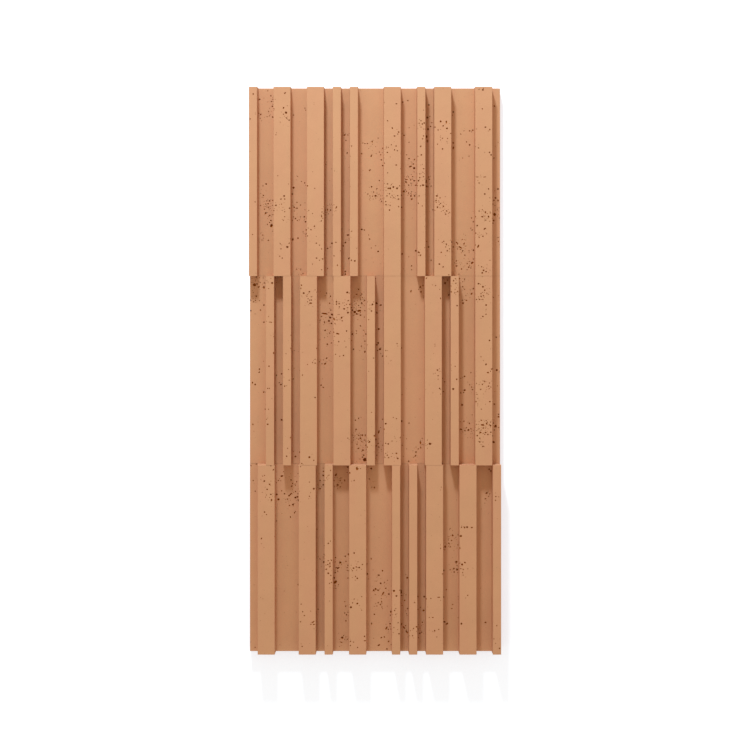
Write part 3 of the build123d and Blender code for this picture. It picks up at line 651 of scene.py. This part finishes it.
def hollow(place, outward, wide, tall, lean, number):
    """One bubble's hollow: its corners in the frame, and its faces."""
    size = max(wide, tall)
    corners, faces = tiny_bubble
    if size > LARGE_FROM:
        corners, faces = large_bubble
    elif size > SMALL_FROM:
        corners, faces = small_bubble
    turn = Matrix.Rotation(math.radians(lean), 3, "Z")
    in_a_wall = abs(outward.z) < 0.9
    if in_a_wall:
        turn = outward.to_track_quat("Z", "Y").to_matrix()
    deep = DEPTH_SHARE * min(wide, tall)
    sunk = Vector((0, 0, SUNK_SHARE * deep))
    start = Vector([number * step for step in DENTS_APART])
    shaped = []
    for corner in corners:
        rough = 1.0 + sum(dent * noise.noise(corner * fine + start) for dent, fine in DENTS)
        grown = Vector((corner.x * wide / 2, corner.y * tall / 2, corner.z * deep)) * rough
        shaped.append(place + turn @ (grown - sunk) * mm)
    return shaped, faces


# hollows that stay clear of each other go into one batch
batches = []
for number, pore in enumerate(pores):
    reach = ROOM_SHARE * max(pore[2], pore[3]) * mm
    for batch in batches:
        if all((pore[0] - other).length > reach + other_reach for other, other_reach, at in batch):
            break
    else:
        batch = []
        batches.append(batch)
    batch.append((pore[0], reach, number))

for batch in batches:
    corners = []
    faces = []
    for place, reach, number in batch:
        shaped, bubble_faces = hollow(*pores[number], number)
        faces += [[point + len(corners) for point in face] for face in bubble_faces]
        corners += shaped
    hollow_mesh = bpy.data.meshes.new("hollows")
    hollow_mesh.from_pydata(corners, [], faces)
    for finish in (skin, pore_wall_painted_shade):
        hollow_mesh.materials.append(finish)
    for face in hollow_mesh.polygons:
        face.material_index = IN_PORES
    cutter = bpy.data.objects.new("hollows", hollow_mesh)
    bpy.context.scene.collection.objects.link(cutter)
    cut = cast.modifiers.new("pores", "BOOLEAN")
    cut.operation = "DIFFERENCE"
    cut.solver = "MANIFOLD"
    cut.material_mode = "INDEX"
    cut.object = cutter
    opened = bpy.data.meshes.new_from_object(
        cast.evaluated_get(bpy.context.evaluated_depsgraph_get()))
    cast.modifiers.clear()
    cast.data = opened
    bpy.data.objects.remove(cutter)


def islands(mesh):
    """The corners of a mesh in groups that hang together, the smallest group first."""
    groups = []
    left_over = set(mesh.verts)
    while left_over:
        reached = [left_over.pop()]
        group = []
        while reached:
            corner = reached.pop()
            group.append(corner)
            for edge in corner.link_edges:
                beside = edge.other_vert(corner)
                if beside in left_over:
                    left_over.remove(beside)
                    reached.append(beside)
        groups.append(group)
    return sorted(groups, key=len)


# crumbs that the hollows have cut loose fall out, and the panel is what is left
solid = bmesh.new()
solid.from_mesh(cast.data)
for crumb in islands(solid)[:-1]:
    bmesh.ops.delete(solid, geom=crumb, context="VERTS")
solid.to_mesh(cast.data)
solid.free()
cast.data.name = "cast_panel"
for face in cast.data.polygons:
    face.use_smooth = face.material_index == IN_PORES
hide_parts("panel")
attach(cast, "root")

# The ground: plain white paper, which shows only the panel's own soft shadow. It glows a little
# where it is looked at, so that it shows white, and that glow lights nothing.
GROUND_CORNERS = [(-6, -6, 0), (6, -6, 0), (6, 6, 0), (-6, 6, 0)]
PAPER = (0.8, 0.8, 0.8, 1.0)
PAPER_GLOW, PAPER_GLOW_STRENGTH = (0.75, 0.845, 0.985, 1.0), 0.575


def looked_at(tree):
    """1 for a ray from the camera or from a glossy or clear surface, 0 for one that only lights."""
    ray = tree.nodes.new("ShaderNodeLightPath")
    seen = ray.outputs["Is Camera Ray"]
    for other in ("Is Glossy Ray", "Is Transmission Ray"):
        seen = combined(tree, "MAXIMUM", seen, ray.outputs[other])
    return seen


ground_mesh = bpy.data.meshes.new("ground")
ground_mesh.from_pydata(GROUND_CORNERS, [], [(0, 1, 2, 3)])
ground = bpy.data.objects.new("ground", ground_mesh)
bpy.context.scene.collection.objects.link(ground)
ground.location.z = -0.2 * mm
paper = bpy.data.materials.new("white_paper")
paper.use_nodes = True
tree = paper.node_tree
paper_shader = tree.nodes["Principled BSDF"]
paper_shader.inputs["Base Color"].default_value = PAPER
paper_shader.inputs["Roughness"].default_value = 1.0
paper_shader.inputs["Specular IOR Level"].default_value = 0.0
paper_shader.inputs["Emission Color"].default_value = PAPER_GLOW
glow = spread(tree, looked_at(tree), (0.0, 1.0), (0.0, PAPER_GLOW_STRENGTH))
tree.links.new(glow, paper_shader.inputs["Emission Strength"])
ground_mesh.materials.append(paper)

# The light: an overcast sky, even in strength, a little pinker low down and yellower overhead, and
# one soft cool lamp beyond the top edge, which throws the ribs' shadows down the panel. The
# shadows, which only the sky lights, are redder than the fronts. Looked at, the sky is white.
LEVEL = 1.13
SKY_STRENGTH = LEVEL * 0.566
LOW_SKY = (1.016, 0.812, 0.869, 1.0)
HIGH_SKY = (1.072, 1.013, 0.764, 1.0)
WHITE = (1.0, 1.0, 1.0, 1.0)
LAMP_COLOUR = (0.876, 1.070, 1.208)
LAMP_POWER = LEVEL * 31.3
LAMP_PLACE = Vector((-0.28, 2.03, 1.00))
LAMP_AIM = Vector((0, 0, 0.03))

scene = bpy.context.scene
sky = bpy.data.worlds.new("sky")
scene.world = sky
sky.use_nodes = True
tree = sky.node_tree
background = tree.nodes["Background"]
direction = node(tree, "ShaderNodeTexCoord").outputs["Generated"]
parts = node(tree, "ShaderNodeSeparateXYZ")
tree.links.new(direction, parts.inputs["Vector"])
height = spread(tree, parts.outputs["Z"], (0.0, 1.0), (0.0, 1.0))
seen = looked_at(tree)
colour = mixed(tree, seen, mixed(tree, height, LOW_SKY, HIGH_SKY), WHITE)
tree.links.new(colour, background.inputs["Color"])
tree.links.new(spread(tree, seen, (0.0, 1.0), (SKY_STRENGTH, 1.0)), background.inputs["Strength"])

lamp = bpy.data.lights.new("lamp", "AREA")
lamp.shape = "DISK"
lamp.size = 0.25
lamp.color = LAMP_COLOUR
lamp.energy = LAMP_POWER
lamp_object = bpy.data.objects.new("lamp", lamp)
scene.collection.objects.link(lamp_object)
lamp_object.location = LAMP_PLACE
lamp_object.rotation_euler = (LAMP_AIM - LAMP_PLACE).to_track_quat("-Z", "Y").to_euler()

# The camera: straight above the panel, a little towards its top edge, looking straight down.
camera = bpy.data.cameras.new("camera")
camera.lens = 65.12
camera.sensor_width = 36.0
camera.shift_y = -0.1443
camera.clip_end = 50.0
camera_object = bpy.data.objects.new("camera", camera)
camera_object.location = EYE
scene.collection.objects.link(camera_object)
scene.camera = camera_object
scene.view_settings.view_transform = "Standard"
